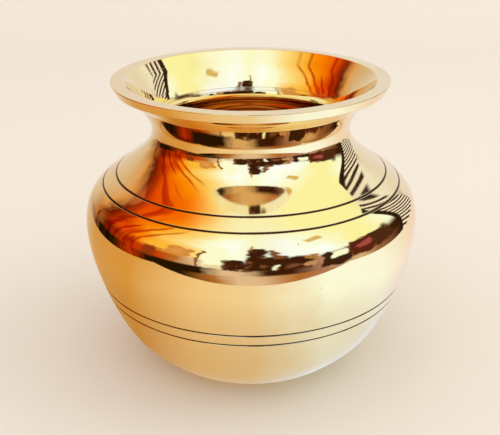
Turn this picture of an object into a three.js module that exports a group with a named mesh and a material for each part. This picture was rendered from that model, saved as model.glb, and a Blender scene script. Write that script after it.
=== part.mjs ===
// A brass kalash: a round-bellied water pot with a waisted neck and a wide flat lip.
// It is made the way such a pot is made: open shells that lap into each other, a ring of braze
// metal in each joint, and a lip ring on the mouth. Millimetres, +Z up, origin at the middle
// of the flat base, on the axis.
import * as THREE from "three";

// Driving dimensions
const WALL = 2; // thickness of every shell
const GAP = 0.3; // clearance between neighbouring pieces
const LAP = 4; // how far a shell's spigot stands up inside the shell above it
const BRAZE_WIDTH = 1.2; // of a braze ring, along the wall
const HALF_WALL = (WALL - GAP) / 2; // thickness of each of the two layers in a lap

const BASE_RADIUS = 34;
const BELLY_RADIUS = 63.5;
const BELLY_HEIGHT = 55.5; // of the widest circle
const WAIST_RADIUS = 37.1;
const WAIST_HEIGHT = 91.2; // of the narrowest circle of the neck, and of the neck seam
const CREASE_RADIUS = 41.2; // of the crease where the neck turns out into the flare
const CREASE_HEIGHT = 101.7;
const MOUTH_RADIUS = 51.3;
const POT_HEIGHT = 110.5;
const LIP_WIDTH = 5; // of the flat on top of the lip
const LIP_EDGE_RADIUS = 0.35; // how much the lip's edges are rounded
const LIP_FOOT_RADIUS = 49.8; // of the lower edge of the lip's face
const RIM_SEAM_HEIGHT = 107.3; // of that edge, and of the lip ring's underside
const RIM_BRAZE_SIZE = 0.7; // of the square section of the braze under the lip ring
const RIM_BRAZE_RADIUS = 46.7; // of the middle of that section

const LINE_WIDTH = 0.8; // of a turned line
const LINE_DEPTH = 0.35;
const UPPER_SHOULDER_LINE = 75.9; // heights of the turned lines
const LOWER_SHOULDER_LINE = 72.3;
const UPPER_BELLY_LINE = 35.5;
const LOWER_BELLY_LINE = 30.9;

// The curved outside of the pot from the base's edge to the crease, as radius and height. The
// flare above it is a straight cone up to the lip's foot, and the lip's face is another.
const OUTLINE = [
  [BASE_RADIUS, 0],
  [40.9, 4.5],
  [48.2, 11.8],
  [55.2, 24],
  [60.7, 39.5],
  [BELLY_RADIUS, BELLY_HEIGHT],
  [60.8, 67.6],
  [50.7, 76.2],
  [43.7, 81.4],
  [38.8, 86.6],
  [WAIST_RADIUS, WAIST_HEIGHT],
  [37.3, 94],
  [38.7, 97.5],
  [CREASE_RADIUS, CREASE_HEIGHT],
];
const START_LEAN = 0.35; // angle at which the outline leaves the base, in radians above level
const END_LEAN = 1.02; // and at which it reaches the crease

const SIDES = 60; // facets round each piece
const LONGEST_STEP = 6; // longest facet along the wall
const TURN_PER_STEP = 0.19; // and how far the wall may turn over one facet, in radians
const SAMPLES_PER_SPAN = 40; // points worked out between two stations of the outline

const BRASS = { color: 0xe0b45c, roughness: 0.12, metalness: 1 };
const BRAZE = { color: 0xd9bc74, roughness: 0.35, metalness: 1 };

// Second derivatives that make one smooth curve of cubics through the values, where steps are
// the distances between them, and the slopes at both ends are given.
function bends(values, steps, firstSlope, lastSlope) {
  const slopes = steps.map((step, i) => (values[i + 1] - values[i]) / step);
  const allSlopes = [firstSlope, ...slopes, lastSlope];
  const allSteps = [0, ...steps, 0];
  const kept = []; // of each row, after elimination: what the next bend is worth, and the rest
  values.forEach((_, i) => {
    const before = kept[i - 1] ?? { share: 0, rest: 0 };
    const pivot = 2 * (allSteps[i] + allSteps[i + 1]) - allSteps[i] * before.share;
    const load = 6 * (allSlopes[i + 1] - allSlopes[i]);
    kept.push({
      share: allSteps[i + 1] / pivot,
      rest: (load - allSteps[i] * before.rest) / pivot,
    });
  });
  const found = new Array(values.length + 1).fill(0);
  for (let i = values.length - 1; i >= 0; i -= 1) {
    found[i] = kept[i].rest - kept[i].share * found[i + 1];
  }
  return found;
}

// The value at a share t, from 0 to 1, of the span from i to i + 1 of such a curve.
function between(values, steps, bend, i, t) {
  const u = 1 - t;
  const square = (steps[i] * steps[i]) / 6;
  const line = values[i] * u + values[i + 1] * t;
  return line + square * (bend[i] * (u ** 3 - u) + bend[i + 1] * (t ** 3 - t));
}

// The outline as many close points, each with its length along the wall and how far it has turned.
function sampleOutline() {
  const radii = OUTLINE.map((p) => p[0]);
  const heights = OUTLINE.map((p) => p[1]);
  const steps = radii.slice(1).map((r, i) => Math.hypot(r - radii[i], heights[i + 1] - heights[i]));
  const radiusBends = bends(radii, steps, Math.cos(START_LEAN), Math.cos(END_LEAN));
  const heightBends = bends(heights, steps, Math.sin(START_LEAN), Math.sin(END_LEAN));
  const points = [];
  for (let k = 0; k <= steps.length * SAMPLES_PER_SPAN; k += 1) {
    const i = Math.min(Math.floor(k / SAMPLES_PER_SPAN), steps.length - 1);
    const t = k / SAMPLES_PER_SPAN - i;
    const radius = between(radii, steps, radiusBends, i, t);
    const height = between(heights, steps, heightBends, i, t);
    points.push({ radius, height, length: 0, turned: 0, lean: START_LEAN });
  }
  for (let k = 1; k < points.length; k += 1) {
    const [a, b] = [points[k - 1], points[k]];
    b.lean = Math.atan2(b.height - a.height, b.radius - a.radius);
    b.length = a.length + Math.hypot(b.height - a.height, b.radius - a.radius);
    b.turned = a.turned + Math.abs(b.lean - a.lean);
  }
  return points;
}

const outline = sampleOutline();

// The outline's values where one of them, such as height or length, reaches a given value.
function outlineWhere(key, value) {
  const next = Math.max(1, outline.findIndex((p) => p[key] >= value));
  const [a, b] = [outline[next - 1], outline[next]];
  const t = (value - a[key]) / (b[key] - a[key]);
  const mixed = {};
  for (const name of Object.keys(a)) {
    mixed[name] = a[name] + t * (b[name] - a[name]);
  }
  return mixed;
}

const lengthAt = (height) => outlineWhere("height", height).length;

// The point that lies a given length along the wall and a given depth in from the outside.
function inWall(length, depth) {
  const p = outlineWhere("length", length);
  return new THREE.Vector2(
    p.radius - depth * Math.sin(p.lean),
    p.height + depth * Math.cos(p.lean),
  );
}

// Points along the wall at one depth, from one length to another, in either direction.
function stretch(from, to, depth) {
  const turn = Math.abs(outlineWhere("length", to).turned - outlineWhere("length", from).turned);
  const steps = Math.ceil(Math.max(Math.abs(to - from) / LONGEST_STEP, turn / TURN_PER_STEP, 1));
  return Array.from({ length: steps + 1 }, (_, i) => inWall(from + ((to - from) * i) / steps, depth));
}

// The outside from one length to another, with a V cut at each turned line in between.
function outside(from, to, lines = []) {
  const points = [];
  let start = from;
  for (const height of lines) {
    const middle = lengthAt(height);
    points.push(...stretch(start, middle - LINE_WIDTH / 2, 0));
    points.push(inWall(middle, LINE_DEPTH));
    start = middle + LINE_WIDTH / 2;
  }
  points.push(...stretch(start, to, 0));
  return points;
}

// The edge of a shell at a seam. side is 1 where the shell lies above the seam and -1 below it.
// A seam that is also a turned line has its edge bevelled, so that two edges make the V.
function seamEdge(seam, side) {
  return seam.inLine ? seam.length + (side * LINE_WIDTH) / 2 : seam.length + (side * GAP) / 2;
}

function seamBevel(seam, side) {
  return seam.inLine ? [inWall(seam.length + (side * GAP) / 2, LINE_DEPTH)] : [];
}

// The lower end of a shell: its outer layer, which laps over the spigot of the shell below,
// and the room that it leaves for the braze ring.
function lowerEnd(seam) {
  const inner = seam.length + LAP + BRAZE_WIDTH + 2 * GAP;
  return [
    inWall(inner, WALL),
    ...stretch(inner, seam.length + GAP / 2, HALF_WALL),
    ...seamBevel(seam, 1),
  ];
}

// The upper end of a shell: its spigot, a thinner inner layer.
function upperEnd(seam) {
  const bottom = seam.length - GAP / 2;
  return [
    ...seamBevel(seam, -1),
    ...stretch(bottom, seam.length + LAP, HALF_WALL + GAP),
    inWall(seam.length + LAP, WALL),
  ];
}

// A shell between two seams, with the turned lines at the given heights.
function shellProfile(low, high, lines) {
  const innerStart = low.length + LAP + BRAZE_WIDTH + 2 * GAP;
  return [
    ...outside(seamEdge(low, 1), seamEdge(high, -1), lines),
    ...upperEnd(high),
    ...stretch(high.length + LAP, innerStart, WALL).slice(1, -1),
    ...lowerEnd(low),
  ];
}

// The lower bowl: a flat floor and a wall up to its seam.
function bowlProfile(high, lines) {
  const floor = inWall(0, WALL);
  return [
    new THREE.Vector2(0, 0),
    ...outside(0, seamEdge(high, -1), lines),
    ...upperEnd(high),
    ...stretch(high.length + LAP, 0, WALL).slice(1),
    new THREE.Vector2(0, floor.y),
  ];
}

// The braze ring that fills the room above a spigot.
function brazeProfile(seam) {
  const bottom = seam.length + LAP + GAP;
  const top = bottom + BRAZE_WIDTH;
  return [
    inWall(bottom, HALF_WALL + GAP),
    inWall(top, HALF_WALL + GAP),
    inWall(top, WALL),
    inWall(bottom, WALL),
  ];
}

const crease = outline.at(-1);
const creaseOutside = inWall(crease.length, 0);
const creaseInside = inWall(crease.length, WALL);
const lipFoot = new THREE.Vector2(LIP_FOOT_RADIUS, RIM_SEAM_HEIGHT);
const lipOuterEdge = new THREE.Vector2(MOUTH_RADIUS, POT_HEIGHT);
const lipInnerEdge = new THREE.Vector2(MOUTH_RADIUS - LIP_WIDTH, POT_HEIGHT);

// The point at a given height on the straight line through two points.
function atHeight(height, low, high) {
  return low.clone().lerp(high, (height - low.y) / (high.y - low.y));
}

// The neck and flare: a lower end like any shell's, a cone outside and a steeper one inside, and
// a top turned level to carry the lip ring.
function flareProfile(low) {
  const top = RIM_SEAM_HEIGHT - GAP;
  const innerStart = low.length + LAP + BRAZE_WIDTH + 2 * GAP;
  return [
    ...outside(seamEdge(low, 1), crease.length),
    atHeight(top, creaseOutside, lipFoot),
    atHeight(top, creaseInside, lipInnerEdge),
    ...stretch(crease.length, innerStart, WALL).slice(0, -1),
    ...lowerEnd(low),
  ];
}

// The lip ring: a flat top, rounded edges, and a groove underneath for its braze.
function lipProfile() {
  const halfGroove = RIM_BRAZE_SIZE / 2 + GAP;
  const grooveTop = RIM_SEAM_HEIGHT + RIM_BRAZE_SIZE + GAP;
  const shoulder = POT_HEIGHT - LIP_EDGE_RADIUS;
  return [
    new THREE.Vector2(RIM_BRAZE_RADIUS + halfGroove, grooveTop),
    new THREE.Vector2(RIM_BRAZE_RADIUS + halfGroove, RIM_SEAM_HEIGHT),
    lipFoot,
    atHeight(shoulder, lipFoot, lipOuterEdge),
    new THREE.Vector2(lipOuterEdge.x - LIP_EDGE_RADIUS, POT_HEIGHT),
    new THREE.Vector2(lipInnerEdge.x + LIP_EDGE_RADIUS, POT_HEIGHT),
    atHeight(shoulder, creaseInside, lipInnerEdge),
    atHeight(RIM_SEAM_HEIGHT, creaseInside, lipInnerEdge),
    new THREE.Vector2(RIM_BRAZE_RADIUS - halfGroove, RIM_SEAM_HEIGHT),
    new THREE.Vector2(RIM_BRAZE_RADIUS - halfGroove, grooveTop),
  ];
}

function rimBrazeProfile() {
  const half = RIM_BRAZE_SIZE / 2;
  const top = RIM_SEAM_HEIGHT + RIM_BRAZE_SIZE;
  return [
    new THREE.Vector2(RIM_BRAZE_RADIUS - half, RIM_SEAM_HEIGHT),
    new THREE.Vector2(RIM_BRAZE_RADIUS + half, RIM_SEAM_HEIGHT),
    new THREE.Vector2(RIM_BRAZE_RADIUS + half, top),
    new THREE.Vector2(RIM_BRAZE_RADIUS - half, top),
  ];
}

// A profile turned round the pot's axis. One that doesn't start on the axis is closed on itself.
function turned(name, profile, finish) {
  const points = profile[0].x === 0 ? profile : [...profile, profile[0].clone()];
  const geometry = new THREE.LatheGeometry(points, SIDES);
  geometry.rotateX(Math.PI / 2); // the lathe turns about Y, and the pot stands along Z
  const mesh = new THREE.Mesh(geometry, new THREE.MeshStandardMaterial(finish));
  mesh.name = name;
  return mesh;
}

const bottomSeam = { length: lengthAt(UPPER_BELLY_LINE), inLine: true };
const shoulderSeam = { length: lengthAt(LOWER_SHOULDER_LINE), inLine: true };
const neckSeam = { length: lengthAt(WAIST_HEIGHT), inLine: false };

const pot = new THREE.Group();
pot.add(turned("bottom_bowl", bowlProfile(bottomSeam, [LOWER_BELLY_LINE]), BRASS));
pot.add(turned("belly_shell", shellProfile(bottomSeam, shoulderSeam, []), BRASS));
pot.add(turned("shoulder_shell", shellProfile(shoulderSeam, neckSeam, [UPPER_SHOULDER_LINE]), BRASS));
pot.add(turned("neck_flare", flareProfile(neckSeam), BRASS));
pot.add(turned("rim_ring", lipProfile(), BRASS));
pot.add(turned("bottom_seam_braze", brazeProfile(bottomSeam), BRAZE));
pot.add(turned("shoulder_seam_braze", brazeProfile(shoulderSeam), BRAZE));
pot.add(turned("neck_seam_braze", brazeProfile(neckSeam), BRAZE));
pot.add(turned("rim_seam_braze", rimBrazeProfile(), BRAZE));

export default pot;
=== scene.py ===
# %% [markdown]
# # A brass kalash
#
# A kalash is the round water pot of a South Asian household: a full belly, a narrow waist and a
# wide mouth with a flat lip. This one is plain polished brass. It is made of four open shells
# that lap into each other, a ring on the mouth, and a thread of braze metal in every joint.
#
# The lesson builds it the way a turner would draw it. One smooth line gives the outside. Every
# shell is a slice of the wall behind that line, and each slice is turned once round the axis.

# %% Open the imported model, which fixes the place and size of everything
import math

import bpy
import numpy as np
from mathutils import Matrix, Vector


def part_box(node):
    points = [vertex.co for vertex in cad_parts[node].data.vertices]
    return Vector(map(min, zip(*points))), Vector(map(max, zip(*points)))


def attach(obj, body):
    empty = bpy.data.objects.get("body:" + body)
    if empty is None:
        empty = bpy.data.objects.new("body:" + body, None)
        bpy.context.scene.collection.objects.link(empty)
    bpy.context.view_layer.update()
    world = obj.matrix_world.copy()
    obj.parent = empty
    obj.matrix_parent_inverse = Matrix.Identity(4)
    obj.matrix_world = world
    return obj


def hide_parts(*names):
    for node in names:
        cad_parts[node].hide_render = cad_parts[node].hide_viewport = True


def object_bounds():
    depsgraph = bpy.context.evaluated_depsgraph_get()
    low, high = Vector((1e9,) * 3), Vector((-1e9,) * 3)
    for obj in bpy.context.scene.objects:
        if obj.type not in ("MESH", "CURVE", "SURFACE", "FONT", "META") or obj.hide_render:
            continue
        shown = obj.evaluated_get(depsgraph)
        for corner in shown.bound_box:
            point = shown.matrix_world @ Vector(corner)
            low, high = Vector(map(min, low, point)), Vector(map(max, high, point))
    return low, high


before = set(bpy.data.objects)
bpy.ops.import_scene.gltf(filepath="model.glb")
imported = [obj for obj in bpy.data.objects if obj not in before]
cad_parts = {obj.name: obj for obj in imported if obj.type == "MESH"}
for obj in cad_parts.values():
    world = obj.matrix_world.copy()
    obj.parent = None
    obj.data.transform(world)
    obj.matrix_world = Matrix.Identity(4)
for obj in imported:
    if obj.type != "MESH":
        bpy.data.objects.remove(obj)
cad_low, cad_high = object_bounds()
MM = 0.001
print("the pot is", [round(side / MM, 1) for side in cad_high - cad_low], "mm")

# %% [markdown]
# ## The outline
#
# A turned pot is judged by the reflections that run over it, and a reflection shows where a
# curve changes its bend, even when the eye can't see a corner. So the body and the neck are one
# curve of cubics whose bend never jumps. It passes through a few stations, given in millimetres
# as radius and height, and leaves the base and reaches its last station at a given lean. There
# the neck has a crease, and above it the flare and the face of the lip are straight cones.

# %% The stations of the outside, and what the frame says about their scale
DRAWN_HEIGHT = 110.5
STATIONS = np.array([
    [34.0, 0.0],  # edge of the flat base
    [40.9, 4.5],
    [48.2, 11.8],
    [55.2, 24.0],
    [60.7, 39.5],
    [63.5, 55.5],  # the widest circle
    [60.8, 67.6],
    [50.7, 76.2],
    [43.7, 81.4],
    [38.8, 86.6],
    [37.1, 91.2],  # the waist
    [37.3, 94.0],
    [38.7, 97.5],
    [41.2, 101.7],  # the crease under the flare
])
START_LEAN = 0.35  # radians above level
END_LEAN = 1.02
LIP_FOOT = np.array([49.8, 107.3])  # lower edge of the lip's face
LIP_EDGE_STATION = np.array([51.3, DRAWN_HEIGHT])  # and its upper edge
SCALE = (cad_high.z - cad_low.z) / DRAWN_HEIGHT  # metres of the frame for a drawn millimetre
print("one drawn millimetre is", round(SCALE / MM, 4), "mm in the frame")


# %% A smooth curve through the stations
def smooth_curve(stations, first_lean, last_lean, per_span=300):
    """Cubic pieces whose slope and bend agree where they meet. With h the distances between
    stations, the bends m solve h[i-1] m[i-1] + 2 (h[i-1] + h[i]) m[i] + h[i] m[i+1] =
    6 (slope[i] - slope[i-1]). Between two stations, at shares t and u = 1 - t of the way, the
    point is p[i] u + p[i+1] t + h^2 / 6 (m[i] (u^3 - u) + m[i+1] (t^3 - t))."""
    step = np.linalg.norm(np.diff(stations, axis=0), axis=1)
    slopes = np.diff(stations, axis=0) / step[:, None]
    ends = np.array([[np.cos(a), np.sin(a)] for a in (first_lean, last_lean)])
    load = 6 * np.diff(np.vstack([ends[:1], slopes, ends[1:]]), axis=0)
    padded = np.concatenate([[0], step, [0]])
    matrix = np.diag(2 * (padded[:-1] + padded[1:])) + np.diag(step, 1) + np.diag(step, -1)
    bend = np.linalg.solve(matrix, load)
    place = np.linspace(0, len(step), len(step) * per_span + 1)
    i = np.minimum(place.astype(int), len(step) - 1)
    t = (place - i)[:, None]
    u = 1 - t
    square = (step[i] ** 2 / 6)[:, None]
    line = stations[i] * u + stations[i + 1] * t
    return line + square * (bend[i] * (u**3 - u) + bend[i + 1] * (t**3 - t))


outline = smooth_curve(STATIONS, START_LEAN, END_LEAN) * SCALE
along = np.concatenate([[0], np.cumsum(np.linalg.norm(np.diff(outline, axis=0), axis=1))])
lean = np.unwrap(np.arctan2(*np.gradient(outline, along, axis=0).T[::-1]))
print("the wall is", round(along[-1] / MM, 1), "mm long from the base's edge to the crease")


def wall(length, depth):
    """Points (radius, height) that lie a length along the outside and a depth behind it:
    outside(length) + depth * (-sin lean, cos lean)."""
    angle = np.interp(length, along, lean)
    radius = np.interp(length, along, outline[:, 0]) - depth * np.sin(angle)
    height = np.interp(length, along, outline[:, 1]) + depth * np.cos(angle)
    return np.stack([radius, height], axis=-1)


def length_at(height):
    """The length along the outside at which it reaches a height."""
    return float(np.interp(height, outline[:, 1], along))


# %% [markdown]
# ## Profiles with small rounded edges
#
# A sharp edge on polished metal still catches a thread of light, because polishing rounds it.
# So every profile is a closed run of corners, and each corner is replaced by a small curve.
# Points are set close to both ends of a straight run, so that the soft shading of the rounded
# corner doesn't spread over the flat beside it.

# %% Rounded corners
EDGE_STEPS = 4  # points round one rounded corner
SUPPORT = 0.06 * MM  # distance of the points that hold a straight run flat
LONG_STEP = 0.9 * MM  # longest step along a run


def run(start, end):
    """Points from start to end, with a close one after the start and one before the end."""
    size = np.linalg.norm(end - start)
    if size < 4 * SUPPORT:
        return np.array([start, end])
    inner = np.linspace(SUPPORT / size, 1 - SUPPORT / size, max(2, math.ceil(size / LONG_STEP)))
    share = np.concatenate([[0], inner, [1]])[:, None]
    return start + share * (end - start)


def rounded(corners, radii):
    """A closed outline. Each corner becomes a quadratic curve (1-t)^2 a + 2 t (1-t) c + t^2 b
    from a point a before the corner c to a point b after it."""
    corners = np.asarray(corners, float)
    ahead = np.roll(corners, -1, axis=0) - corners
    sizes = np.linalg.norm(ahead, axis=1)
    ahead = ahead / sizes[:, None]
    cut = np.minimum(radii, 0.45 * np.minimum(sizes, np.roll(sizes, 1)))[:, None]
    before = corners - cut * np.roll(ahead, 1, axis=0)
    after = corners + cut * ahead
    t = np.linspace(0, 1, EDGE_STEPS + 1)[:, None]
    pieces = []
    for i in range(len(corners)):
        pieces.append((1 - t) ** 2 * before[i] + 2 * t * (1 - t) * corners[i] + t**2 * after[i])
        pieces.append(run(after[i], before[(i + 1) % len(corners)])[1:-1])
    return np.concatenate(pieces)


# %% [markdown]
# ## The joints
#
# Where two shells meet, the wall is split in two layers. The lower shell keeps the inner layer
# and stands up inside the upper one as a spigot, and the upper shell keeps the outer layer.
# A ring of braze metal lies above the spigot's edge. The two seams on the belly and the
# shoulder run in the bottom of a turned line, where the eye takes them for the line itself.
# The other seams are only as wide as a hair, because brazing fills them and polishing hides
# them.

# %% The wall's measures, in metres
WALL = 2.0 * SCALE
SEAM = 0.03 * SCALE  # the hairline between two shells
LAP = 4.0 * SCALE
BRAZE_WIDTH = 1.2 * SCALE
LAYER = (WALL - SEAM) / 2
EDGE = 0.05 * SCALE  # rounding of an edge that polishing has worn
LINE_WIDTH = 0.85 * SCALE
LINE_DEPTH = 0.36 * SCALE
LINE_FLOOR = 0.3 * SCALE  # width of the flat at the bottom of a turned line

LINE_HEIGHTS = (75.9, 72.3, 35.5, 30.9)  # drawn heights of the turned lines, from the top down
WAIST_HEIGHT = 91.2
turned_lines = [length_at(height * SCALE) for height in LINE_HEIGHTS]
upper_shoulder_line, lower_shoulder_line, upper_belly_line, lower_belly_line = turned_lines
waist = length_at(WAIST_HEIGHT * SCALE)
crease = float(along[-1])
rim_height = LIP_FOOT[1] * SCALE
print("turned lines at", [round(x / MM, 1) for x in turned_lines], "mm along the wall")


# %% The corners of the wall, as length along it, depth behind it and how far each is rounded
def groove(length):
    """The corners of one turned line."""
    half, floor = LINE_WIDTH / 2, LINE_FLOOR / 2
    return [(length - half, 0, 1.6 * EDGE), (length - floor, LINE_DEPTH, EDGE),
            (length + floor, LINE_DEPTH, EDGE), (length + half, 0, 1.6 * EDGE)]


def lower_end(seam, in_line):
    """The outer layer that reaches down over a spigot, from the inside round to the outside."""
    inner = seam + LAP + BRAZE_WIDTH + 2 * SEAM
    corners = [(inner, WALL, EDGE), (inner, LAYER, EDGE)]
    if in_line:
        return corners + [(seam + SEAM / 2, LAYER, EDGE), (seam + SEAM / 2, LINE_DEPTH, 0.2 * EDGE),
                          (seam + LINE_FLOOR / 2, LINE_DEPTH, EDGE), (seam + LINE_WIDTH / 2, 0, 1.6 * EDGE)]
    return corners + [(seam + SEAM / 2, LAYER, EDGE), (seam + SEAM / 2, 0, 0.3 * EDGE)]


def upper_end(seam, in_line):
    """The spigot, from the outside round to the inside."""
    top = seam + LAP
    spigot = [(seam - SEAM / 2, LAYER + SEAM, 0.5 * EDGE), (top, LAYER + SEAM, EDGE), (top, WALL, EDGE)]
    if in_line:
        return [(seam - LINE_WIDTH / 2, 0, 1.6 * EDGE), (seam - LINE_FLOOR / 2, LINE_DEPTH, EDGE),
                (seam - SEAM / 2, LINE_DEPTH, 0.2 * EDGE)] + spigot
    return [(seam - SEAM / 2, 0, 0.3 * EDGE)] + spigot


def shell_profile(corners):
    """Corners of the wall become points of radius and height."""
    table = np.array(corners)
    points = rounded(table[:, :2], table[:, 2])
    return wall(points[:, 0], points[:, 1]), points


# %% [markdown]
# ## Turning a profile
#
# A lathe turns one profile round one axis, and so does this function: it lays copies of the
# profile at even angles and joins them with four-sided faces. Hand work is never quite round,
# so the wall also swells and sinks by a few hundredths of a millimetre in long soft waves. That
# is too little to see as shape, and enough to make the reflections swim a little, as they do on
# a real pot.

# %% The waves of the wall
AROUND = 360
WAVE_HEIGHT = 0.03 * MM
rng = np.random.default_rng(7)
wave_turns = np.array([2, 3, 3, 4, 5, 7])
wave_rises = rng.uniform(-90, 90, len(wave_turns))  # radians for each metre of height
wave_phases = rng.uniform(0, 2 * math.pi, len(wave_turns))


def wave(angle, height):
    """A sum of cosines of (turns * angle + rise * height + phase), which fades at the base and
    at the lip, where the pot is faced flat."""
    phase = (wave_turns[:, None, None] * angle + wave_rises[:, None, None] * height
             + wave_phases[:, None, None])
    top = cad_high.z
    fade = np.clip(height / (0.1 * top), 0, 1) * np.clip((top - height) / (0.06 * top), 0, 1)
    return WAVE_HEIGHT * fade**2 * np.cos(phase).sum(axis=0) / math.sqrt(len(wave_turns))


# %% From a profile to a mesh
def new_object(name, data):
    """An object in the scene."""
    made = bpy.data.objects.new(name, data)
    bpy.context.scene.collection.objects.link(made)
    return made


def turn(name, profile, closed=True, line_depth=None):
    """A surface of two parameters, the angle a and the place s on the profile:
    (r(s) cos a, r(s) sin a, z(s)), with the wave added to r. A profile that isn't closed starts
    and ends on the axis, and each of its ends is one shared point. Its UV map holds the share
    of a turn and the length along the profile in metres."""
    body = profile if closed else profile[1:-1]
    angle = np.arange(AROUND) * 2 * math.pi / AROUND
    radius = body[:, :1] + wave(angle[None, :], body[:, 1:])
    grid = np.stack([radius * np.cos(angle), radius * np.sin(angle),
                     np.broadcast_to(body[:, 1:], radius.shape)], axis=-1)
    rows = len(body)
    vertices = grid.reshape(-1, 3)
    row = np.arange(rows if closed else rows - 1)[:, None]
    column = np.arange(AROUND)[None, :]
    after_row, after_column = (row + 1) % rows, (column + 1) % AROUND
    corners = np.stack([row * AROUND + column, row * AROUND + after_column,
                        after_row * AROUND + after_column, after_row * AROUND + column], axis=-1)
    travelled = np.concatenate([[0], np.cumsum(np.linalg.norm(np.diff(body, axis=0), axis=1))])
    low_v = np.broadcast_to(travelled[row], (len(row), AROUND))
    ends = np.append(travelled, travelled[-1] + np.linalg.norm(body[0] - body[-1]))
    high_v = np.broadcast_to(ends[row + 1], (len(row), AROUND))
    u = np.broadcast_to(column / AROUND, low_v.shape)
    uv = np.stack([np.stack([u, low_v], -1), np.stack([u + 1 / AROUND, low_v], -1),
                   np.stack([u + 1 / AROUND, high_v], -1), np.stack([u, high_v], -1)], axis=2)
    loops, sizes, uvs = corners.ravel(), np.full(corners.size // 4, 4), uv.reshape(-1, 2)
    if not closed:
        poles = len(vertices) + np.arange(2)
        vertices = np.vstack([vertices, [0, 0, profile[0, 1]], [0, 0, profile[-1, 1]]])
        first = np.stack([np.full(AROUND, poles[0]), np.roll(np.arange(AROUND), -1), np.arange(AROUND)], -1)
        last_row = (rows - 1) * AROUND + np.arange(AROUND)
        last = np.stack([np.full(AROUND, poles[1]), last_row, np.roll(last_row, -1)], -1)
        loops = np.concatenate([loops, first.ravel(), last.ravel()])
        sizes = np.concatenate([sizes, np.full(2 * AROUND, 3)])
        share = np.arange(AROUND) / AROUND
        first_uv = np.stack([np.stack([share, 0 * share], -1)] * 3, 1).reshape(-1, 2)
        last_uv = np.stack([np.stack([share, 0 * share + travelled[-1]], -1)] * 3, 1).reshape(-1, 2)
        uvs = np.vstack([uvs, first_uv, last_uv])
    mesh = bpy.data.meshes.new(name)
    mesh.vertices.add(len(vertices))
    mesh.vertices.foreach_set("co", vertices.astype(np.float32).ravel())
    mesh.loops.add(len(loops))
    mesh.loops.foreach_set("vertex_index", loops.astype(np.int32))
    mesh.polygons.add(len(sizes))
    starts = np.concatenate([[0], np.cumsum(sizes)[:-1]])
    mesh.polygons.foreach_set("loop_start", starts.astype(np.int32))
    mesh.uv_layers.new(name="turned").data.foreach_set("uv", uvs.astype(np.float32).ravel())
    if line_depth is not None:
        values = np.repeat(line_depth, AROUND).astype(np.float32)
        layer = mesh.attributes.new("line_depth", "FLOAT", "POINT")
        layer.data.foreach_set("value", np.pad(values, (0, len(vertices) - len(values))))
    mesh.update(calc_edges=True)
    mesh.validate()
    mesh.shade_smooth()
    return new_object(name, mesh)


def groove_share(points):
    """How deep each point of a profile lies in a turned line, from 0 on the skin to 1."""
    near = [np.abs(points[:, 0] - x) < 0.55 * LINE_WIDTH for x in turned_lines]
    return np.where(np.any(near, axis=0), np.clip(points[:, 1] / LINE_DEPTH, 0, 1), 0)


def report(piece, node):
    """Prints a piece's size beside the size of the node that it stands for."""
    points = np.zeros(len(piece.data.vertices) * 3, np.float32)
    piece.data.vertices.foreach_get("co", points)
    points = points.reshape(-1, 3)
    low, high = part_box(node)
    print(f"{piece.name}: {len(piece.data.polygons)} faces,",
          "radius", round(points[:, 0].max() / MM, 2), "against", round(high.x / MM, 2),
          "height", [round(x / MM, 2) for x in (points[:, 2].min(), points[:, 2].max())],
          "against", [round(x / MM, 2) for x in (low.z, high.z)])


pieces = {}


def add_piece(name, profile, node, closed=True, depth_points=None):
    """Turns a profile, and says what the piece stands for and what it rides on."""
    depth = None if depth_points is None else groove_share(depth_points)
    piece = turn(name, profile, closed, depth)
    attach(piece, "root")
    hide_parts(node)
    report(piece, node)
    pieces[name] = piece


# %% [markdown]
# ## The bottom bowl
#
# The bowl is the one shell with a floor. Its base is faced flat, so that the pot doesn't rock,
# and the edge between base and wall is only just broken. Inside, the corner is much rounder,
# because the metal was spun over a wooden form there.

# %% The bowl's profile, from the middle of the base round to the middle of the floor
BASE_EDGE = 0.9 * SCALE
FLOOR_CURVE = 5.0 * SCALE
base_radius = outline[0, 0]


def bow(start, corner, end, count=10):
    """A quadratic curve from start to end that leans towards the corner."""
    t = np.linspace(0, 1, count)[:, None]
    return (1 - t) ** 2 * start + 2 * t * (1 - t) * corner + t**2 * end


def open_rounded(corners):
    """As rounded, but for an open run of corners: the closing run is left out."""
    table = np.array(corners)
    first, last = table[0, :2], table[-1, :2]
    points = rounded(table[:, :2], np.concatenate([[0], table[1:-1, 2], [0]]))
    start = EDGE_STEPS  # the first corner isn't rounded, so its points are all the same
    stop = len(points) - len(run(last, first)[1:-1])
    return points[start:stop - EDGE_STEPS]


bowl_run = open_rounded([(BASE_EDGE, 0, 0), *groove(lower_belly_line),
                         *upper_end(upper_belly_line, True), (FLOOR_CURVE, WALL, 0)])
bowl_wall = wall(bowl_run[:, 0], bowl_run[:, 1])
floor_height = float(wall(0, WALL)[1])
floor_radius = float(wall(0, WALL)[0])
base_flat = np.linspace(0, base_radius - BASE_EDGE, 24)
floor_flat = np.linspace(floor_radius - FLOOR_CURVE, 0, 20)
edge_bow = bow(np.array([base_flat[-1], 0]), np.array([base_radius, 0]), bowl_wall[0])[1:-1]
bowl_profile = np.vstack([
    np.stack([base_flat, 0 * base_flat], -1),
    edge_bow,
    bowl_wall,
    bow(bowl_wall[-1], np.array([floor_radius, floor_height]),
        np.array([floor_flat[0], floor_height]), 16)[1:-1],
    np.stack([floor_flat, 0 * floor_flat + floor_height], -1),
])
bowl_depths = np.zeros((len(bowl_profile) - 2, 2))  # without the two points on the axis
wall_start = len(base_flat) + len(edge_bow) - 1  # one less, for the point on the axis
bowl_depths[wall_start:wall_start + len(bowl_run)] = bowl_run
add_piece("bottom_bowl_turned", bowl_profile, "bottom_bowl", closed=False, depth_points=bowl_depths)

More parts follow.
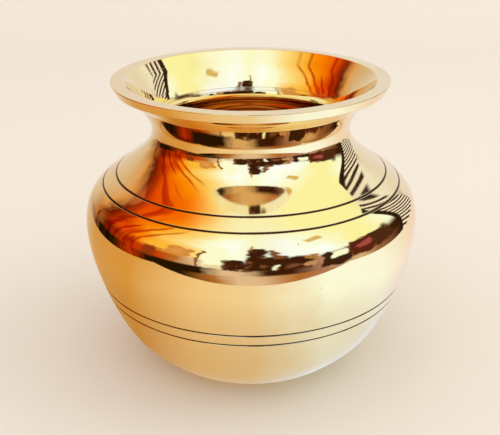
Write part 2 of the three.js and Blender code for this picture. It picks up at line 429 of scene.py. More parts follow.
# %% [markdown]
# ## The belly, the shoulder and the neck
#
# The belly and the shoulder are rings of wall between two seams. The lists of corners go once
# round each ring: up the outside, over the spigot, down the inside, and back out under the lap.
# The neck has no spigot. Its outside turns out at the crease into the cone of the flare, and
# inside, the cone of the mouth runs into the neck over a soft bend.

# %% The belly shell
belly_corners = [*lower_end(upper_belly_line, True), *upper_end(lower_shoulder_line, True)]
belly_profile, belly_points = shell_profile(belly_corners)
add_piece("belly_shell_turned", belly_profile, "belly_shell", depth_points=belly_points)

# %% The shoulder shell, with the upper of the two shoulder lines
shoulder_corners = [*lower_end(lower_shoulder_line, True), *groove(upper_shoulder_line),
                    *upper_end(waist, False)]
shoulder_profile, shoulder_points = shell_profile(shoulder_corners)
add_piece("shoulder_shell_turned", shoulder_profile, "shoulder_shell", depth_points=shoulder_points)


# %% The neck and flare, whose top is turned level for the lip ring
LIP_WIDTH = 5.0 * SCALE
LIP_EDGE = 0.35 * SCALE
lip_foot = LIP_FOOT * SCALE
lip_outer_edge = LIP_EDGE_STATION * SCALE
lip_inner_edge = lip_outer_edge - np.array([LIP_WIDTH, 0])
crease_outside = wall(crease, 0)
crease_inside = wall(crease, WALL)


def at_height(height, low, high):
    """The point at a height on the straight line through two points."""
    return low + (height - low[1]) / (high[1] - low[1]) * (high - low)


MOUTH_BEND = 4.0 * SCALE  # how far from the inner crease its rounding starts
neck_run = open_rounded([(crease - MOUTH_BEND, WALL, 0), *lower_end(waist, False), (crease, 0, 0)])
neck_wall = wall(neck_run[:, 0], neck_run[:, 1])
flare_top = rim_height - 0.2 * SEAM
bend_top = at_height(crease_inside[1] + 0.8 * MOUTH_BEND, crease_inside, lip_inner_edge)
flare_run = open_rounded([(*crease_outside, 0), (*at_height(flare_top, crease_outside, lip_foot), 0.3 * EDGE),
                          (*at_height(flare_top, crease_inside, lip_inner_edge), 0.1 * EDGE), (*bend_top, 0)])
mouth_bend = bow(bend_top, crease_inside, neck_wall[0], 16)
flare_profile = np.vstack([neck_wall, flare_run[1:], mouth_bend[1:-1]])
add_piece("neck_flare_turned", flare_profile, "neck_flare")

# %% [markdown]
# ## The lip ring
#
# The lip is a heavy flat ring, so that the mouth keeps its shape when the pot is lifted by it.
# Its face is steeper than the flare, and its top is faced flat.

# %% The lip ring's profile
BRAZE_SIZE = 0.7 * SCALE
braze_radius = 46.7 * SCALE
groove_half = BRAZE_SIZE / 2 + SEAM
groove_top = rim_height + BRAZE_SIZE + SEAM
lip_table = np.array([
    (*lip_foot, 0.6 * EDGE),
    (*lip_outer_edge, 1.3 * LIP_EDGE),
    (*lip_inner_edge, 0.8 * LIP_EDGE),
    (*at_height(rim_height, crease_inside, lip_inner_edge), 0.1 * EDGE),
    (braze_radius - groove_half, rim_height, EDGE),
    (braze_radius - groove_half, groove_top, EDGE),
    (braze_radius + groove_half, groove_top, EDGE),
    (braze_radius + groove_half, rim_height, EDGE),
])
lip_profile = rounded(lip_table[:, :2], lip_table[:, 2])
add_piece("rim_ring_turned", lip_profile, "rim_ring")


# %% [markdown]
# ## The braze rings
#
# Braze metal is laid in as a ring of wire and melts level with the wall. Each ring here fills
# its groove to within a hair, and is dressed flush with the inside of the pot.

# %% The rings above the spigots, and the one under the lip
def braze_ring(node, seam):
    """A ring of the room that is left between a spigot and the shell above it."""
    low, high = seam + LAP + SEAM, seam + LAP + BRAZE_WIDTH + SEAM
    corners = [(low, LAYER + SEAM, EDGE), (high, LAYER + SEAM, EDGE), (high, WALL, EDGE), (low, WALL, EDGE)]
    profile, _ = shell_profile(corners)
    add_piece(node + "_ring", profile, node)


braze_ring("bottom_seam_braze", upper_belly_line)
braze_ring("shoulder_seam_braze", lower_shoulder_line)
braze_ring("neck_seam_braze", waist)
half = BRAZE_SIZE / 2
rim_braze_corners = np.array([[braze_radius - half, rim_height], [braze_radius + half, rim_height],
                              [braze_radius + half, rim_height + BRAZE_SIZE],
                              [braze_radius - half, rim_height + BRAZE_SIZE]])
add_piece("rim_seam_braze_ring", rounded(rim_braze_corners, np.full(4, EDGE)), "rim_seam_braze")

# %% [markdown]
# ## Node helpers
#
# A pattern that several finishes share is a node group with named inputs and outputs. These
# helpers keep the groups short: each adds one kind of node with its values and its links.


# %% Helpers for node trees
def add_node(tree, kind, values=None, **settings):
    """A new node with its properties set and its inputs filled by name or number."""
    node = tree.nodes.new(kind)
    for key, value in settings.items():
        setattr(node, key, value)
    for key, value in (values or {}).items():
        if isinstance(value, bpy.types.NodeSocket):
            tree.links.new(value, node.inputs[key])
        else:
            node.inputs[key].default_value = value
    return node


def maths(tree, operation, *values, clamp=False):
    """The output of one Math node."""
    return add_node(tree, "ShaderNodeMath", dict(enumerate(values)), operation=operation,
                    use_clamp=clamp).outputs[0]


def vector_maths(tree, operation, *values, result=0):
    """The first output of one Vector Math node, or the named one."""
    node = add_node(tree, "ShaderNodeVectorMath", dict(enumerate(values)), operation=operation)
    return node.outputs[result]


def noise(tree, place, scale, detail):
    """The value of a soft noise."""
    values = {"Vector": place, "Scale": scale, "Detail": detail}
    return add_node(tree, "ShaderNodeTexNoise", values).outputs["Fac"]


def smooth_step(tree, value, low, high, start=0.0, end=1.0):
    """start below low, end above high, and smooth between."""
    return add_node(tree, "ShaderNodeMapRange",
                    {"Value": value, "From Min": low, "From Max": high, "To Min": start, "To Max": end},
                    interpolation_type="SMOOTHSTEP").outputs[0]


def new_group(name, inputs, outputs):
    """An empty shader node group with named sockets: (name, kind, default) for inputs."""
    tree = bpy.data.node_groups.new(name, "ShaderNodeTree")
    for label, kind, default in inputs:
        socket = tree.interface.new_socket(label, in_out="INPUT", socket_type=kind)
        if default is not None:
            socket.default_value = default
    for label, kind in outputs:
        tree.interface.new_socket(label, in_out="OUTPUT", socket_type=kind)
    source = tree.nodes.new("NodeGroupInput")
    sink = tree.nodes.new("NodeGroupOutput")
    return tree, source.outputs, sink.inputs


def place_group(tree, group, values):
    """A node group placed in a material, with its inputs filled."""
    return add_node(tree, "ShaderNodeGroup", values, node_tree=group)


FLOAT, VECTOR = "NodeSocketFloat", "NodeSocketVector"

# %% [markdown]
# ## Polishing lines
#
# The pot is polished on the lathe, so the last scratches are thin threads that run round it.
# They need a pattern that is long round the pot and very short along the wall. A point's
# direction from the axis has no seam, so the pattern is a noise in a space whose first two
# axes are that direction and whose third is the length along the wall, stretched hard.


# %% The polishing lines group
def make_polishing_lines():
    """Height and streak of threads that run round the axis."""
    tree, given, put = new_group(
        "polishing_lines",
        [("Position", VECTOR, None), ("Length", FLOAT, 0.0), ("Threads per metre", FLOAT, 3000.0),
         ("Reach", FLOAT, 2.0)],
        [("Height", FLOAT), ("Streak", FLOAT)])
    flat = vector_maths(tree, "MULTIPLY", given["Position"], (1, 1, 0))
    unit = vector_maths(tree, "NORMALIZE", flat)
    reach = add_node(tree, "ShaderNodeVectorMath", {0: unit, "Scale": given["Reach"]}, operation="SCALE")
    rise = maths(tree, "MULTIPLY", given["Length"], given["Threads per metre"])
    lift = add_node(tree, "ShaderNodeCombineXYZ", {"Z": rise})
    place = vector_maths(tree, "ADD", reach.outputs[0], lift.outputs[0])
    broad_place = vector_maths(tree, "MULTIPLY", place, (0.7, 0.7, 0.12))
    tree.links.new(noise(tree, place, 1.0, 2.0), put["Height"])
    tree.links.new(smooth_step(tree, noise(tree, broad_place, 1.0, 3.0), 0.45, 0.75), put["Streak"])
    return tree


polishing_lines = make_polishing_lines()
print("group:", polishing_lines.name)

# %% [markdown]
# ## Pits
#
# Cast and hammered brass has small pores. Polishing opens some of them as dots, well under a
# millimetre across. A cell pattern gives each cell a middle and a random number: a dot is
# drawn in the few cells whose number is high.


# %% The pits group
def make_pits():
    """A mask that is 1 in scattered small dots."""
    tree, given, put = new_group(
        "pits",
        [("Position", VECTOR, None), ("Cells per metre", FLOAT, 260.0), ("Share", FLOAT, 0.1),
         ("Dot size", FLOAT, 0.06)],
        [("Mask", FLOAT)])
    cells = add_node(tree, "ShaderNodeTexVoronoi", {"Vector": given["Position"],
                                                    "Scale": given["Cells per metre"]})
    pick = add_node(tree, "ShaderNodeSeparateColor", {0: cells.outputs["Color"]})
    limit = maths(tree, "SUBTRACT", 1.0, given["Share"])
    chosen = maths(tree, "GREATER_THAN", pick.outputs[0], limit)
    size = maths(tree, "MULTIPLY", given["Dot size"], maths(tree, "ADD", 0.4, pick.outputs[1]))
    middle = maths(tree, "MULTIPLY", size, 0.5)
    inside = smooth_step(tree, cells.outputs["Distance"], middle, size, 1.0, 0.0)
    tree.links.new(maths(tree, "MULTIPLY", chosen, inside), put["Mask"])
    return tree


pits = make_pits()
print("group:", pits.name)

# %% [markdown]
# ## Handling marks
#
# Hands and cloths leave faint clouds on polished brass: the shine is a little softer there and
# the colour a little browner. A soft noise with a high threshold gives such clouds.


# %% The handling marks group
def make_clouds():
    """A mask of soft clouds."""
    tree, given, put = new_group(
        "handling_clouds",
        [("Position", VECTOR, None), ("Clouds per metre", FLOAT, 22.0), ("From", FLOAT, 0.5),
         ("To", FLOAT, 0.8)],
        [("Mask", FLOAT)])
    cloud = add_node(tree, "ShaderNodeTexNoise",
                     {"Vector": given["Position"], "Scale": given["Clouds per metre"], "Detail": 4.0,
                      "Roughness": 0.55})
    mask = smooth_step(tree, cloud.outputs["Fac"], given["From"], given["To"])
    tree.links.new(mask, put["Mask"])
    return tree


clouds = make_clouds()
print("group:", clouds.name)


# %% [markdown]
# ## The finishes
#
# Brass is a metal, so its colour is the colour of its mirror image. Clean brass takes a third
# or more of the blue out of what it mirrors, a little of the green, and almost none of the red.
# The outside is a mirror. The inside had only a buff, not a polish, so it is a little rougher; its
# darker, deeper orange colour is painted shade and brass-on-brass bounce light of the deep inside.
# In the turned lines polish and dirt stay behind and darken.

# %% The brass finishes
def mix_colour(tree, share, low, high):
    """low where share is 0, high where it is 1."""
    node = tree.nodes.new("ShaderNodeMix")
    node.data_type = "RGBA"
    for socket, value in zip((node.inputs[0], node.inputs[6], node.inputs[7]), (share, low, high)):
        if isinstance(value, bpy.types.NodeSocket):
            tree.links.new(value, socket)
        else:
            socket.default_value = value
    return node.outputs[2]


def brass(name, clean, dull, dark, roughness, cloud_roughness, thread_height, pit_share):
    """A polished brass. clean, dull and dark are its colours on the skin, in the clouds and in
    the turned lines and pits."""
    material = bpy.data.materials.new(name)
    material.use_nodes = True
    tree = material.node_tree
    shader = tree.nodes["Principled BSDF"]
    shader.inputs["Metallic"].default_value = 1.0
    position = add_node(tree, "ShaderNodeTexCoord").outputs["Object"]
    uv = add_node(tree, "ShaderNodeUVMap", uv_map="turned").outputs[0]
    length = add_node(tree, "ShaderNodeSeparateXYZ", {0: uv}).outputs["Y"]
    lines = place_group(tree, polishing_lines, {"Position": position, "Length": length})
    dots = place_group(tree, pits, {"Position": position, "Share": pit_share})
    cloud = place_group(tree, clouds, {"Position": position})
    depth = add_node(tree, "ShaderNodeAttribute", attribute_name="line_depth").outputs["Fac"]
    in_line = smooth_step(tree, depth, 0.1, 0.5)
    darkened = maths(tree, "MAXIMUM", in_line, maths(tree, "MULTIPLY", dots.outputs["Mask"], 0.8))
    colour = mix_colour(tree, cloud.outputs["Mask"], clean, dull)
    colour = mix_colour(tree, darkened, colour, dark)
    tree.links.new(colour, shader.inputs["Base Color"])
    rough = maths(tree, "MULTIPLY_ADD", cloud.outputs["Mask"], cloud_roughness, roughness)
    rough = maths(tree, "MULTIPLY_ADD", lines.outputs["Streak"], 0.35 * roughness, rough)
    rough = maths(tree, "MAXIMUM", rough, maths(tree, "MULTIPLY", darkened, 0.35))
    tree.links.new(rough, shader.inputs["Roughness"])
    height = maths(tree, "MULTIPLY_ADD", dots.outputs["Mask"], -6.0, lines.outputs["Height"])
    bump = add_node(tree, "ShaderNodeBump", {"Height": height, "Distance": thread_height, "Strength": 1.0})
    tree.links.new(bump.outputs[0], shader.inputs["Normal"])
    return material


polished = brass("polished_brass", (0.93, 0.74, 0.40, 1), (0.86, 0.63, 0.30, 1), (0.07, 0.03, 0.012, 1),
                 0.035, 0.03, 0.0000006, 0.12)
# The inside finish: rougher than the skin, with darker, deeper orange colours that are painted shade and
# bounce light of the deep inside.
buffed_shaded = brass("buffed_inside_painted_shade", (0.86, 0.50, 0.20, 1), (0.70, 0.34, 0.11, 1), (0.20, 0.08, 0.03, 1),
               0.13, 0.10, 0.000002, 0.2)
filler = brass("braze_metal", (0.90, 0.72, 0.42, 1), (0.80, 0.60, 0.32, 1), (0.20, 0.12, 0.06, 1),
               0.12, 0.10, 0.000002, 0.25)
print("finishes:", [m.name for m in (polished, buffed_shaded, filler)])


# %% Which faces take which finish
def dress(piece, inside_below):
    """The skin takes the polished finish. Faces that look towards the axis, below a height, are
    the inside and take the rougher inside finish, whose darker colour is painted shade."""
    mesh = piece.data
    for finish in (polished, buffed_shaded):
        mesh.materials.append(finish)
    centres = np.zeros(len(mesh.polygons) * 3, np.float32)
    normals = np.zeros(len(mesh.polygons) * 3, np.float32)
    mesh.polygons.foreach_get("center", centres)
    mesh.polygons.foreach_get("normal", normals)
    centres, normals = centres.reshape(-1, 3), normals.reshape(-1, 3)
    inward = (centres[:, :2] * normals[:, :2]).sum(axis=1) < 0
    floor = (normals[:, 2] > 0.9) & (centres[:, 2] < 2 * floor_height)
    inside = (inward | floor) & (centres[:, 2] < inside_below)
    mesh.polygons.foreach_set("material_index", inside.astype(np.int32))


inside_height = float(wall(waist, WALL)[1])
for shell in ("bottom_bowl_turned", "belly_shell_turned", "shoulder_shell_turned", "neck_flare_turned",
              "rim_ring_turned"):
    dress(pieces[shell], inside_height)
for name, piece in pieces.items():
    if name.endswith("braze_ring"):
        piece.data.materials.append(filler)

# %% [markdown]
# ## The stage
#
# Polished metal has no look of its own: it shows what stands round it. So the stage has two
# sides. One is what the camera sees, a sheet of pale paper that curves up behind the pot. The
# other is what only the metal sees: the same sheet in the colours that it has from close by, and
# a room that is bright overhead, with windows in front, a dark band at eye level, a warm curtain
# on the left and a slatted blind on the right.


# %% The paper that the camera sees
def clear_from_behind(tree):
    """Lets light through from behind, so that a sheet never hides the pot from below."""
    clear = add_node(tree, "ShaderNodeBsdfTransparent")
    back = add_node(tree, "ShaderNodeNewGeometry").outputs["Backfacing"]
    shader = tree.nodes["Principled BSDF"].outputs[0]
    both = add_node(tree, "ShaderNodeMixShader", {0: back, 1: shader, 2: clear.outputs[0]})
    tree.links.new(both.outputs[0], tree.nodes["Material Output"].inputs["Surface"])


def sheet_finish(name, values):
    """A material for a sheet, with constant values on its shader."""
    material = bpy.data.materials.new(name)
    material.use_nodes = True
    shader = material.node_tree.nodes["Principled BSDF"]
    for key, value in values.items():
        shader.inputs[key].default_value = value
    clear_from_behind(material.node_tree)
    return material


def sheet_mesh(name, xs, path):
    """A sheet between two x values that follows a path of (y, z) points from front to back."""
    y, z = (np.repeat(values[:, None], len(xs), axis=1) for values in np.array(path).T)
    grid = np.stack([np.broadcast_to(xs, y.shape), y, z], axis=-1)
    rows, columns = grid.shape[:2]
    row, column = np.meshgrid(np.arange(rows - 1), np.arange(columns - 1), indexing="ij")
    first = row * columns + column
    faces = np.stack([first, first + 1, first + columns + 1, first + columns], axis=-1).reshape(-1, 4)
    mesh = bpy.data.meshes.new(name)
    mesh.from_pydata(grid.reshape(-1, 3).tolist(), [], faces.tolist())
    mesh.shade_smooth()
    made = new_object(name, mesh)
    return made


PAPER_DROP = 0.0002
SWEEP_START, SWEEP_RADIUS, SWEEP_TOP = 0.55, 0.35, 1.3
bend = np.linspace(0, math.pi / 2, 24)
sweep = [(SWEEP_START + SWEEP_RADIUS * math.sin(a), SWEEP_RADIUS * (1 - math.cos(a)) - PAPER_DROP)
         for a in bend]
paper_path = [(-3.0, -PAPER_DROP), *sweep, (SWEEP_START + SWEEP_RADIUS, SWEEP_TOP)]
paper = sheet_mesh("paper", np.linspace(-3.0, 3.0, 5), paper_path)
paper.data.materials.append(sheet_finish("pale_paper", {
    "Base Color": (0.84, 0.80, 0.74, 1), "Roughness": 0.9, "Specular IOR Level": 0.1}))
paper.visible_glossy = False
print("stage:", paper.name)


# %% Colours along a bearing
def bearing_of(tree, vector):
    """The angle of a direction or place to the right of straight in front, in degrees."""
    part = add_node(tree, "ShaderNodeSeparateXYZ", {0: vector}).outputs
    return maths(tree, "DEGREES", maths(tree, "ARCTAN2", part["X"], maths(tree, "MULTIPLY", part["Y"], -1.0)))


def ramp(tree, bearing, stops):
    """Colours along a bearing that runs from -180 to 180 degrees."""
    share = maths(tree, "MULTIPLY_ADD", bearing, 1 / 360, 0.5)
    node = add_node(tree, "ShaderNodeValToRGB", {0: share})
    elements = node.color_ramp.elements
    while len(elements) < len(stops):
        elements.new(0.5)
    for element, stop in zip(elements, stops):
        element.position = stop[0] / 360 + 0.5
    for element, stop in zip(elements, stops):
        element.color = (*stop[1], 1)
    return node.outputs["Color"]


# %% [markdown]
# ### The sheet that the metal sees
#
# The metal mirrors the sheet from very close by, where the light from each side of the room
# changes its colour: warm brown next to the curtain, cool and bright next to the window. The
# pot's own shade darkens it close to the base. So the metal gets a sheet of its own, flat and
# glowing in those colours, which the camera doesn't see.

# %% The mirrored sheet: colours by bearing from the pot
SHEET_COLOURS = [
    (-180, (0.85, 0.8, 0.75)), (-150, (0.8, 0.7, 0.6)), (-115, (0.7, 0.4, 0.15)), (-75, (0.75, 0.4, 0.1)),
    (-30, (0.95, 0.75, 0.5)), (0, (0.95, 0.85, 0.7)), (40, (1.05, 1.3, 1.7)), (80, (1.05, 1.25, 1.6)),
    (120, (0.95, 0.85, 0.85)), (150, (0.9, 0.8, 0.75)), (180, (0.85, 0.8, 0.75)),
]
SHADE = (0.76, 0.68, 0.60, 1)  # share of the light that is left close to the base
SHADE_REACH = (0.034, 0.13)  # distances from the axis where the shade begins to fade and ends
SHEET_SIDES, SHEET_FRONT, SHEET_BACK = (-0.32, 0.33), -0.185, 0.9


def make_mirrored_sheet():
    """A flat glowing sheet for mirrored rays only."""
    path = [(SHEET_FRONT, -PAPER_DROP), (SHEET_BACK, -PAPER_DROP)]
    sheet = sheet_mesh("mirrored_sheet", np.linspace(*SHEET_SIDES, 5), path)
    material = sheet_finish("mirrored_paper", {
        "Base Color": (0, 0, 0, 1), "Specular IOR Level": 0.0, "Emission Strength": 1.0})
    tree = material.node_tree
    place = add_node(tree, "ShaderNodeTexCoord").outputs["Object"]
    distance = vector_maths(tree, "LENGTH", place, result="Value")
    shade = mix_colour(tree, smooth_step(tree, distance, *SHADE_REACH), SHADE, (1, 1, 1, 1))
    colour = vector_maths(tree, "MULTIPLY", ramp(tree, bearing_of(tree, place), SHEET_COLOURS), shade)
    tree.links.new(colour, tree.nodes["Principled BSDF"].inputs["Emission Color"])
    sheet.data.materials.append(material)
    sheet.visible_camera = False
    sheet.visible_diffuse = False
    sheet.visible_shadow = False
    return sheet


print("stage:", make_mirrored_sheet().name)

# %% [markdown]
# ### The room
#
# The room is a world shader. It turns a direction into two angles: how far it is to the right
# of the camera, and how high. The walls are rows of colours along the first angle, one row for
# each of six heights, and each thing in the room is a soft-edged rectangle in the two angles. A
# slow noise bends their edges, because the wall of a real pot is never quite even.


# %% The soft rectangle group
def make_patch():
    """A mask that is 1 inside a rectangle of angles and falls to 0 over a soft edge."""
    tree, given, put = new_group(
        "room_patch",
        [("Bearing", FLOAT, 0.0), ("Height", FLOAT, 0.0), ("Middle bearing", FLOAT, 0.0),
         ("Middle height", FLOAT, 0.0), ("Half width", FLOAT, 10.0), ("Half height", FLOAT, 10.0),
         ("Edge", FLOAT, 1.0), ("Slant", FLOAT, 0.0)],
        [("Mask", FLOAT)])
    rise = maths(tree, "SUBTRACT", given["Height"], given["Middle height"])
    shift = maths(tree, "MULTIPLY", rise, given["Slant"])
    across = maths(tree, "SUBTRACT", given["Bearing"], given["Middle bearing"])
    across = maths(tree, "SUBTRACT", across, shift)
    masks = []
    for distance, half_size in ((across, given["Half width"]), (rise, given["Half height"])):
        low = maths(tree, "SUBTRACT", half_size, given["Edge"])
        high = maths(tree, "ADD", half_size, given["Edge"])
        masks.append(smooth_step(tree, maths(tree, "ABSOLUTE", distance), low, high, 1.0, 0.0))
    tree.links.new(maths(tree, "MULTIPLY", *masks), put["Mask"])
    return tree


room_patch = make_patch()

# %% A small palette, and the walls: for each height, colours along the bearing, in degrees
BLACK, DARK = (0.02, 0.01, 0.0), (0.05, 0.015, 0.005)
BROWN, RUST, TAN = (0.35, 0.17, 0.1), (0.5, 0.2, 0.05), (0.8, 0.4, 0.15)
WINE, RED, SCARLET = (0.15, 0.01, 0.0), (0.6, 0.05, 0.0), (0.95, 0.13, 0.0)
ORANGE, AMBER, GOLD = (1.05, 0.35, 0.0), (1.05, 0.65, 0.1), (1.05, 0.95, 0.5)
STRAW, LIGHT, COOL = (1.05, 1.2, 0.85), (1.05, 1.3, 1.5), (1.05, 1.35, 2.1)
ROSE, MAUVE = (0.8, 0.65, 0.6), (0.5, 0.3, 0.3)
PALE, WARM_GREY = (0.85, 0.85, 0.9), (0.75, 0.6, 0.45)

UNDER = [(-180, PALE), (-145, WARM_GREY), (-120, DARK), (-80, WINE), (-70, BLACK), (-45, BLACK), (-24, RUST),
         (-10, ROSE), (5, ROSE), (30, RUST), (60, MAUVE), (90, BROWN), (120, BROWN), (145, PALE)]
GROUND = [(-180, PALE), (-150, WARM_GREY), (-130, BROWN), (-120, BLACK), (-100, BLACK), (-85, RED),
          (-73, BLACK), (-32, BLACK), (-20, ROSE), (-5, ROSE), (10, DARK), (25, DARK), (50, MAUVE),
          (75, WARM_GREY), (90, BROWN), (116, DARK), (135, BROWN), (145, PALE)]
LOW = [(-180, PALE), (-145, WARM_GREY), (-130, RUST), (-115, WINE), (-85, RED), (-65, RED), (-50, RUST),
       (-38, ROSE), (-22, (1, 1, 1)), (-10, DARK), (28, DARK), (45, MAUVE), (65, BROWN), (95, DARK),
       (120, DARK), (136, MAUVE), (145, PALE)]
MIDDLE = [(-180, PALE), (-145, WARM_GREY), (-134, TAN), (-125, WINE), (-110, RED), (-96, SCARLET),
          (-84, ORANGE), (-70, AMBER), (-48, AMBER), (-38, GOLD), (-24, LIGHT), (10, COOL), (55, COOL),
          (75, STRAW), (95, STRAW), (115, LIGHT), (150, PALE)]
HIGH = [(-180, WARM_GREY), (-145, TAN), (-125, RED), (-116, SCARLET), (-96, ORANGE), (-82, AMBER),
        (-58, GOLD), (-38, LIGHT), (-18, COOL), (0, LIGHT), (28, COOL), (60, LIGHT), (90, STRAW),
        (120, STRAW), (150, ROSE), (180, WARM_GREY)]
CEILING = [(-180, GOLD), (-110, AMBER), (-85, GOLD), (-40, STRAW), (36, LIGHT), (85, STRAW), (140, STRAW),
           (180, GOLD)]
# each row above the first, and the two heights between which it takes over from the one below
WALLS = [(GROUND, -14.0, -11.0), (LOW, -3.0, 0.0), (MIDDLE, 8.0, 20.0), (HIGH, 30.0, 45.0),
         (CEILING, 60.0, 80.0)]
ZENITH = (1.04, 1.18, 1.12, 1)  # straight above every bearing meets, so the colour is even
WINDOW = LIGHT
# bearing, height, half width, half height, edge, slant, colour
THINGS = [
    (-51, 23, 9.5, 9.5, 1.0, 0.1, (0.70, 0.34, 0.10)),
    (-51, 22, 6, 6, 4.0, 0.1, (0.78, 0.42, 0.16)),
    (-70, 7, 5, 10, 2.0, 0.2, (0.30, 0.05, 0.01)),
    (-26, 24, 7, 25, 1.5, -0.05, WINDOW),
    (-25, 2, 6, 3, 1.5, 0.0, (0.95, 0.88, 0.80)),
    (-36, 15, 1.2, 19, 0.8, 0.05, (0.20, 0.07, 0.03)),
    (-12, 7, 6, 11, 1.5, 0.0, DARK),
    (3, 22, 6.5, 26, 1.5, 0.05, DARK),
    (14, 10, 10, 15, 2.0, 0.0, DARK),
    (28, 8, 11, 13, 2.5, 0.0, DARK),
    (16, 30, 3.5, 12, 2.0, -0.2, (0.22, 0.10, 0.04)),
    (15, 1, 1.5, 3.5, 0.8, 0.0, WINDOW),
    (38, 1, 4, 3.5, 1.0, 0.1, (0.60, 0.38, 0.26)),
    (40, 15, 5, 5, 2.0, 0.0, (0.45, 0.24, 0.08)),
    (57, 3, 10, 12.5, 1.0, 0.1, (0.05, 0.02, 0.01)),
    (60, 9, 6.0, 5.5, 1.0, 0.1, WINDOW),
    (78, 8, 11, 14, 2.0, 0.1, (0.11, 0.022, 0.012)),
    (80, 9, 6, 4, 2.0, 0.0, (0.40, 0.10, 0.12)),
    (97, 8, 10, 13, 2.0, -0.1, (0.08, 0.03, 0.015)),
    (59, 54, 9, 2.5, 1.5, 0.0, (0.75, 0.60, 0.25)),
    (0, 50, 1.2, 6, 1.0, 0.3, (0.45, 0.28, 0.12)),
]
BLIND_LEFT, BLIND_RIGHT = 119.0, 143.0
BLIND_LOW, BLIND_TOP = -14.0, 42.0
SLAT_DARK, SLAT_LIGHT, POST = (0.03, 0.02, 0.015, 1), (1.0, 1.0, 1.1, 1), (0.03, 0.015, 0.01, 1)
BLIND_TAPER = 0.3  # degrees of width lost for each degree of height
SLAT_SPACING = 5.2
SLAT_SLOPE = 0.6
CURTAIN = (-128.0, -76.0)  # bearings of its edges
FOLD_SHADE = (0.62, 0.25, 0.10, 1)
FOLDS_ACROSS, FOLDS_UP = 0.16, 0.02  # of the fold pattern, for each degree
ROOM_NOISE = 7.0  # scale of the noise that bends the room's edges
UNREST = 12.0  # degrees that the noise swings them, from one end to the other
MOTTLE = (0.20, 0.09, 0.05, 1)  # the lighter patches on dark cards
AMBIENT = (1.10, 1.04, 0.98, 1)  # what lights the paper
SEEN = (0.95, 0.88, 0.80, 1)  # what the camera sees beyond the paper


def band(tree, value, low, high):
    """1 between two values and 0 outside them, over soft edges of a degree."""
    inside = smooth_step(tree, value, low - 0.5, low + 0.5)
    past = smooth_step(tree, value, high - 0.5, high + 0.5)
    return maths(tree, "SUBTRACT", inside, past)


def with_blind(tree, colour, bearing, height):
    """The room with its slatted blind, which hangs from a post and gets narrower upwards. The
    slats slope, and lie closer together far from the post."""
    past_post = maths(tree, "SUBTRACT", bearing, BLIND_LEFT)
    lift = maths(tree, "MULTIPLY_ADD", past_post, SLAT_SLOPE, height)
    closer = maths(tree, "MULTIPLY_ADD", past_post, 0.03, 1.0)
    phase = maths(tree, "MULTIPLY", maths(tree, "MULTIPLY", lift, closer), 2 * math.pi / SLAT_SPACING)
    lit = smooth_step(tree, maths(tree, "SINE", phase), -0.25, 0.25)
    slats = mix_colour(tree, lit, SLAT_DARK, SLAT_LIGHT)
    slanted = maths(tree, "MULTIPLY_ADD", height, BLIND_TAPER, bearing)
    within = maths(tree, "MULTIPLY", smooth_step(tree, bearing, BLIND_LEFT - 0.5, BLIND_LEFT + 0.5),
                   smooth_step(tree, slanted, BLIND_RIGHT - 1, BLIND_RIGHT + 1, 1.0, 0.0))
    tall = band(tree, height, BLIND_LOW, BLIND_TOP)
    colour = mix_colour(tree, maths(tree, "MULTIPLY", within, tall), colour, slats)
    post = maths(tree, "MULTIPLY", band(tree, bearing, BLIND_LEFT - 2.5, BLIND_LEFT + 2), tall)
    return mix_colour(tree, post, colour, POST)


def with_folds(tree, colour, straight, swing, height):
    """The room with long dark folds in its curtain, which fade out under the ceiling."""
    swayed = maths(tree, "MULTIPLY_ADD", swing, 0.35, straight)
    place = add_node(tree, "ShaderNodeCombineXYZ", {"X": maths(tree, "MULTIPLY", swayed, FOLDS_ACROSS),
                                                    "Y": maths(tree, "MULTIPLY", height, FOLDS_UP)})
    fold = smooth_step(tree, noise(tree, place.outputs[0], 1.0, 1.0), 0.50, 0.62)
    on_curtain = maths(tree, "MULTIPLY", band(tree, maths(tree, "ADD", straight, swing), *CURTAIN),
                       smooth_step(tree, height, 50.0, 66.0, 1.0, 0.0))
    shade = mix_colour(tree, maths(tree, "MULTIPLY", fold, on_curtain), (1, 1, 1, 1), FOLD_SHADE)
    return vector_maths(tree, "MULTIPLY", colour, shade)


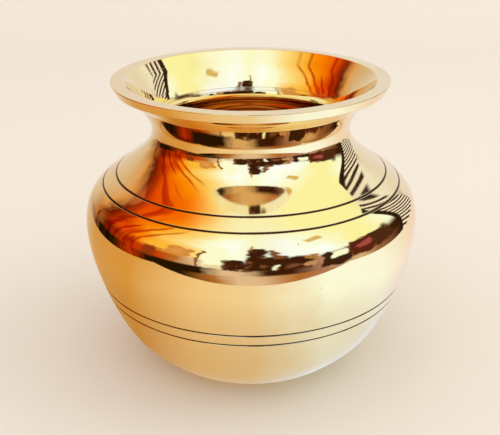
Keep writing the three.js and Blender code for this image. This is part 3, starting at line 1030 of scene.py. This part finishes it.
def make_room():
    """The world. Mirrored rays see the room, the camera sees plain paper colour, and all other
    rays an even light."""
    world = bpy.data.worlds.new("room")
    bpy.context.scene.world = world
    world.use_nodes = True
    tree = world.node_tree
    direction = add_node(tree, "ShaderNodeTexCoord").outputs["Generated"]
    rise = add_node(tree, "ShaderNodeSeparateXYZ", {0: direction}).outputs["Z"]
    unrest = noise(tree, direction, ROOM_NOISE, 3.0)
    swing = maths(tree, "MULTIPLY_ADD", unrest, UNREST, -UNREST / 2)
    straight = bearing_of(tree, direction)
    bearing = maths(tree, "ADD", straight, swing)
    height = maths(tree, "DEGREES", maths(tree, "ARCSINE", rise))
    colour = ramp(tree, bearing, UNDER)
    for stops, low, high in WALLS:
        colour = mix_colour(tree, smooth_step(tree, height, low, high), colour, ramp(tree, bearing, stops))
    colour = mix_colour(tree, smooth_step(tree, height, 72.0, 86.0), colour, ZENITH)
    mottled = mix_colour(tree, smooth_step(tree, unrest, 0.52, 0.66), (*DARK, 1), MOTTLE)
    for middle, level, half_width, half_height, edge, slant, thing in THINGS:
        patch = place_group(tree, room_patch, {
            "Bearing": bearing, "Height": maths(tree, "ADD", height, swing), "Middle bearing": middle,
            "Middle height": level, "Half width": half_width, "Half height": half_height, "Edge": edge,
            "Slant": slant})
        shade = mottled if thing == DARK else (*thing, 1)
        colour = mix_colour(tree, patch.outputs["Mask"], colour, shade)
    colour = with_blind(tree, colour, straight, height)
    colour = with_folds(tree, colour, straight, swing, height)
    rays = add_node(tree, "ShaderNodeLightPath").outputs
    colour = mix_colour(tree, rays["Is Glossy Ray"], AMBIENT, colour)
    colour = mix_colour(tree, rays["Is Camera Ray"], colour, SEEN)
    tree.links.new(colour, tree.nodes["Background"].inputs["Color"])
    print("room:", len(THINGS), "things in", len(tree.nodes), "nodes")


make_room()


# %% The lamp: a soft box, which the metal doesn't mirror, because the room is its light
def soft_box(name, place, aim, size, power, colour):
    """A square lamp that points from its place to an aim."""
    lamp = bpy.data.lights.new(name, "AREA")
    lamp.size = size
    lamp.energy = power
    lamp.color = colour
    made = new_object(name, lamp)
    made.location = place
    made.rotation_euler = (Vector(aim) - Vector(place)).to_track_quat("-Z", "Y").to_euler()
    made.visible_glossy = False


soft_box("key", (0.65, -0.05, 0.8), (0, 0, 0.03), 0.6, 1.2, (1.0, 0.97, 0.92))

# %% [markdown]
# ## The camera
#
# The camera stands in front of the pot and a little above the mouth, and looks down into it.

# %% The camera
CAMERA_DISTANCE = 311.4 * SCALE  # in front of the axis
CAMERA_HEIGHT = 186.3 * SCALE  # above the base
CAMERA_PITCH = math.radians(23.02)
CAMERA_ROLL = math.radians(-0.3)
CAMERA_YAW = math.radians(0.09)
LENS = 61.97

lens = bpy.data.cameras.new("camera")
lens.lens = LENS
lens.sensor_width = 36.0
lens.dof.use_dof = False
camera = new_object("camera", lens)
camera.matrix_world = (Matrix.Translation((0, -CAMERA_DISTANCE, CAMERA_HEIGHT))
                       @ Matrix.Rotation(CAMERA_YAW, 4, "Z")
                       @ Matrix.Rotation(math.pi / 2 - CAMERA_PITCH, 4, "X")
                       @ Matrix.Rotation(CAMERA_ROLL, 4, "Z"))
bpy.context.scene.camera = camera
bpy.context.scene.view_settings.view_transform = "Standard"
